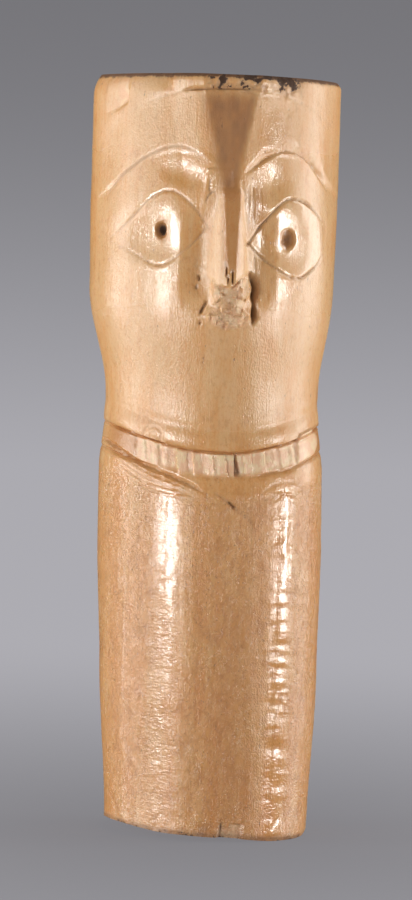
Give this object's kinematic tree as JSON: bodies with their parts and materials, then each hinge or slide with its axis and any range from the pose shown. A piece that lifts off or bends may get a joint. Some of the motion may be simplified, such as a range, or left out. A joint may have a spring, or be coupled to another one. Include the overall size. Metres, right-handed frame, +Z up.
{
  "type": "carved bone figurine",
  "caption": "Doll-like figurine carved from a length of long bone: incised brows and almond eyes, wedge nose, a collar cut at the neck and a plain tapering body that stands on its sawn base.",
  "frame": {"origin": "on the base plane, under the middle of the bounding box", "axes": "+Z up along the bone, -Y out of the face, +X to the viewer's right when looking at the face"},
  "size_m": [0.033, 0.0238, 0.1],
  "materials": {
    "polished_bone": "polished old bone, honey to ivory, with a soft gloss"
  },
  "bodies": {
    "root": {"bone_figurine": "polished_bone"}
  },
  "joints": []
}
